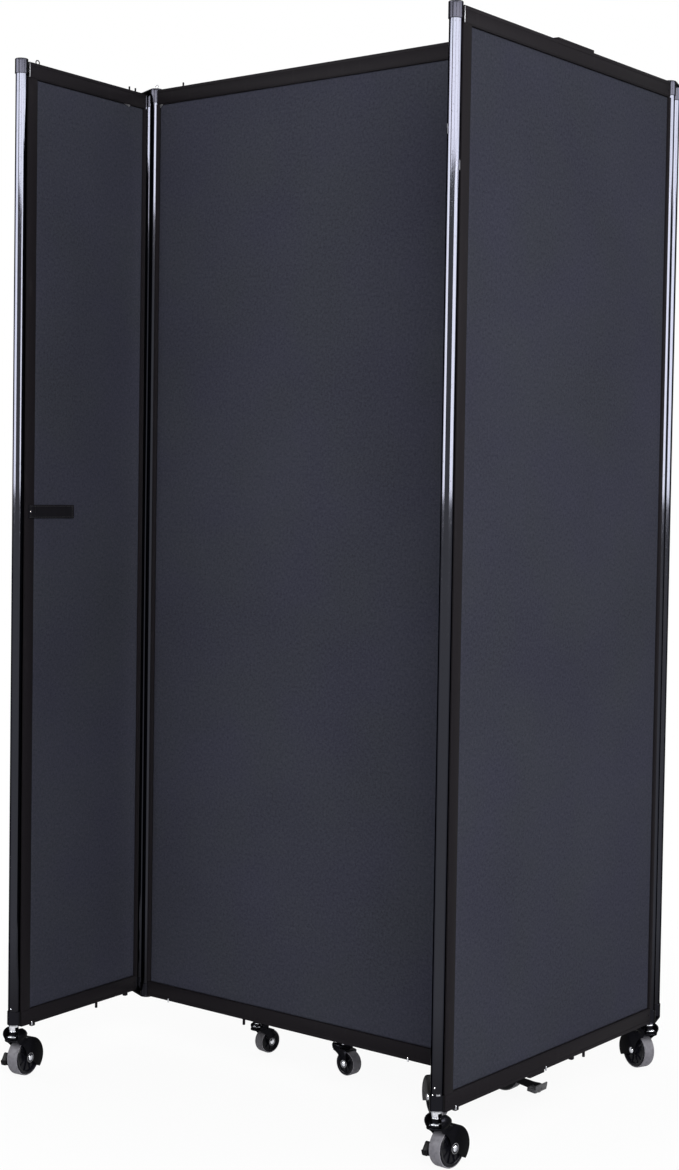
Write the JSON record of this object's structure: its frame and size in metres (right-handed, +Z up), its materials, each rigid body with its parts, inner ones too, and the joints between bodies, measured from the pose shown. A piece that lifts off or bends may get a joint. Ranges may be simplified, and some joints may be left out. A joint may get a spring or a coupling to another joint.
{
  "type": "ward privacy screen",
  "caption": "Folding ward privacy screen: framed fabric panels hinged post to post, standing on swivel casters with foot brakes.",
  "frame": {"origin": "on the floor, under the middle of the bounding box at rest", "axes": "+Z up, +X along panel B from its left post to its right one, panels A and C reach towards -Y"},
  "size_m": [1.1104, 1.064, 2.0872],
  "materials": {
    "gloss_tube": "gloss black",
    "satin_frame": "satin black",
    "screen_fabric": "charcoal plain weave stretched over a board",
    "caster_chrome": "bright chrome",
    "fork_black": "semi-gloss black",
    "wheel_grey": "grey tread on a black core",
    "pedal_plastic": "dark grey moulded",
    "strap_webbing": "black woven webbing"
  },
  "bodies": {
    "panel_B": {"left_post_B": "gloss_tube", "right_post_B": "gloss_tube", "bottom_rail_B": "satin_frame", "top_rail_B": "satin_frame", "fabric_board_B": "screen_fabric", "top_link_AB": "satin_frame", "bottom_link_AB": "satin_frame", "top_link_BD": "satin_frame", "bottom_link_BD": "satin_frame", "outrigger_B1": "satin_frame", "outrigger_B2": "satin_frame", "caster_swivel_B1": "caster_chrome", "caster_swivel_B2": "caster_chrome", "caster_swivel_B": "caster_chrome"},
    "panel_A": {"hinge_post_A": "gloss_tube", "free_post_A": "gloss_tube", "bottom_rail_A": "satin_frame", "top_rail_A": "satin_frame", "fabric_board_A": "screen_fabric", "post_cap_A": "gloss_tube", "post_collar_A": "gloss_tube", "strap": "strap_webbing", "strap_rivet": "strap_webbing", "caster_swivel_A": "caster_chrome"},
    "panel_D": {"near_post_D": "gloss_tube", "far_post_D": "gloss_tube", "bottom_rail_D": "satin_frame", "top_rail_D": "satin_frame", "fabric_board_D": "screen_fabric", "top_link_DC": "satin_frame", "bottom_link_DC": "satin_frame", "outrigger_D": "satin_frame", "caster_swivel_D": "caster_chrome"},
    "panel_C": {"far_post_C": "gloss_tube", "near_post_C": "gloss_tube", "bottom_rail_C": "satin_frame", "top_rail_C": "satin_frame", "fabric_board_C": "screen_fabric", "post_cap_C": "gloss_tube", "post_collar_C": "gloss_tube", "caster_swivel_C_far": "caster_chrome", "caster_swivel_C_near": "caster_chrome"},
    "fork_A": {"caster_fork_A": "fork_black"},
    "wheel_A": {"caster_wheel_A": "wheel_grey"},
    "pedal_A": {"brake_pedal_A": "pedal_plastic"},
    "fork_B": {"caster_fork_B": "fork_black"},
    "wheel_B": {"caster_wheel_B": "wheel_grey"},
    "fork_B1": {"caster_fork_B1": "fork_black"},
    "wheel_B1": {"caster_wheel_B1": "wheel_grey"},
    "fork_B2": {"caster_fork_B2": "fork_black"},
    "wheel_B2": {"caster_wheel_B2": "wheel_grey"},
    "fork_D": {"caster_fork_D": "fork_black"},
    "wheel_D": {"caster_wheel_D": "wheel_grey"},
    "pedal_D": {"brake_pedal_D": "pedal_plastic"},
    "fork_C_far": {"caster_fork_C_far": "fork_black"},
    "wheel_C_far": {"caster_wheel_C_far": "wheel_grey"},
    "fork_C_near": {"caster_fork_C_near": "fork_black"},
    "wheel_C_near": {"caster_wheel_C_near": "wheel_grey"},
    "pedal_C_near": {"brake_pedal_C_near": "pedal_plastic"}
  },
  "joints": [
    {"name": "fold_A", "type": "hinge", "parent": "panel_B", "child": "panel_A", "pos_m": [-0.54181, -0.10003, 0], "axis": [0, 0, 1], "range_deg": [-95, 30]},
    {"name": "fold_D", "type": "hinge", "parent": "panel_B", "child": "panel_D", "pos_m": [0.37923, -0.07087, 0], "axis": [0, 0, 1], "range_deg": [-80, 50]},
    {"name": "fold_C", "type": "hinge", "parent": "panel_D", "child": "panel_C", "pos_m": [0.44327, 0.46506, 0], "axis": [0, 0, 1], "range_deg": [0, 165]},
    {"name": "swivel_A", "type": "hinge", "parent": "panel_A", "child": "fork_A", "pos_m": [-0.47049, -0.51292, 0], "axis": [0, 0, 1], "continuous": true},
    {"name": "roll_A", "type": "hinge", "parent": "fork_A", "child": "wheel_A", "pos_m": [-0.47644, -0.48147, 0.038], "axis": [-0.9826, -0.1857, 0], "continuous": true},
    {"name": "brake_A", "type": "hinge", "parent": "fork_A", "child": "pedal_A", "pos_m": [-0.47644, -0.48147, 0.038], "axis": [0.9826, 0.1857, 0], "range_deg": [0, 10]},
    {"name": "swivel_B", "type": "hinge", "parent": "panel_B", "child": "fork_B", "pos_m": [0.35023, -0.1211, 0], "axis": [0, 0, 1], "continuous": true},
    {"name": "roll_B", "type": "hinge", "parent": "fork_B", "child": "wheel_B", "pos_m": [0.3237, -0.1032, 0.038], "axis": [-0.5592, -0.829, 0], "continuous": true},
    {"name": "swivel_B1", "type": "hinge", "parent": "panel_B", "child": "fork_B1", "pos_m": [-0.23837, -0.0245, 0], "axis": [0, 0, 1], "continuous": true},
    {"name": "roll_B1", "type": "hinge", "parent": "fork_B1", "child": "wheel_B1", "pos_m": [-0.23485, 0.00227, 0.0255], "axis": [-0.9914, 0.1305, 0], "continuous": true},
    {"name": "swivel_B2", "type": "hinge", "parent": "panel_B", "child": "fork_B2", "pos_m": [-0.01687, -0.007, 0], "axis": [0, 0, 1], "continuous": true},
    {"name": "roll_B2", "type": "hinge", "parent": "fork_B2", "child": "wheel_B2", "pos_m": [0.01012, -0.00775, 0.0255], "axis": [0.0279, 0.9996, 0], "continuous": true},
    {"name": "swivel_D", "type": "hinge", "parent": "panel_D", "child": "fork_D", "pos_m": [0.3422, 0.14189, 0], "axis": [0, 0, 1], "continuous": true},
    {"name": "roll_D", "type": "hinge", "parent": "fork_D", "child": "wheel_D", "pos_m": [0.31037, 0.13854, 0.038], "axis": [0.1045, -0.9945, 0], "continuous": true},
    {"name": "brake_D", "type": "hinge", "parent": "fork_D", "child": "pedal_D", "pos_m": [0.31037, 0.13854, 0.038], "axis": [-0.1045, 0.9945, 0], "range_deg": [0, 10]},
    {"name": "swivel_C_far", "type": "hinge", "parent": "panel_C", "child": "fork_C_far", "pos_m": [0.44327, 0.46506, 0], "axis": [0, 0, 1], "continuous": true},
    {"name": "roll_C_far", "type": "hinge", "parent": "fork_C_far", "child": "wheel_C_far", "pos_m": [0.41268, 0.47447, 0.038], "axis": [-0.294, -0.9558, 0], "continuous": true},
    {"name": "swivel_C_near", "type": "hinge", "parent": "panel_C", "child": "fork_C_near", "pos_m": [0.5329, -0.36813, 0], "axis": [0, 0, 1], "continuous": true},
    {"name": "roll_C_near", "type": "hinge", "parent": "fork_C_near", "child": "wheel_C_near", "pos_m": [0.53317, -0.33613, 0.038], "axis": [-1, 0.0087, 0], "continuous": true},
    {"name": "brake_C_near", "type": "hinge", "parent": "fork_C_near", "child": "pedal_C_near", "pos_m": [0.53317, -0.33613, 0.038], "axis": [1, -0.0087, 0], "range_deg": [0, 10]}
  ]
}
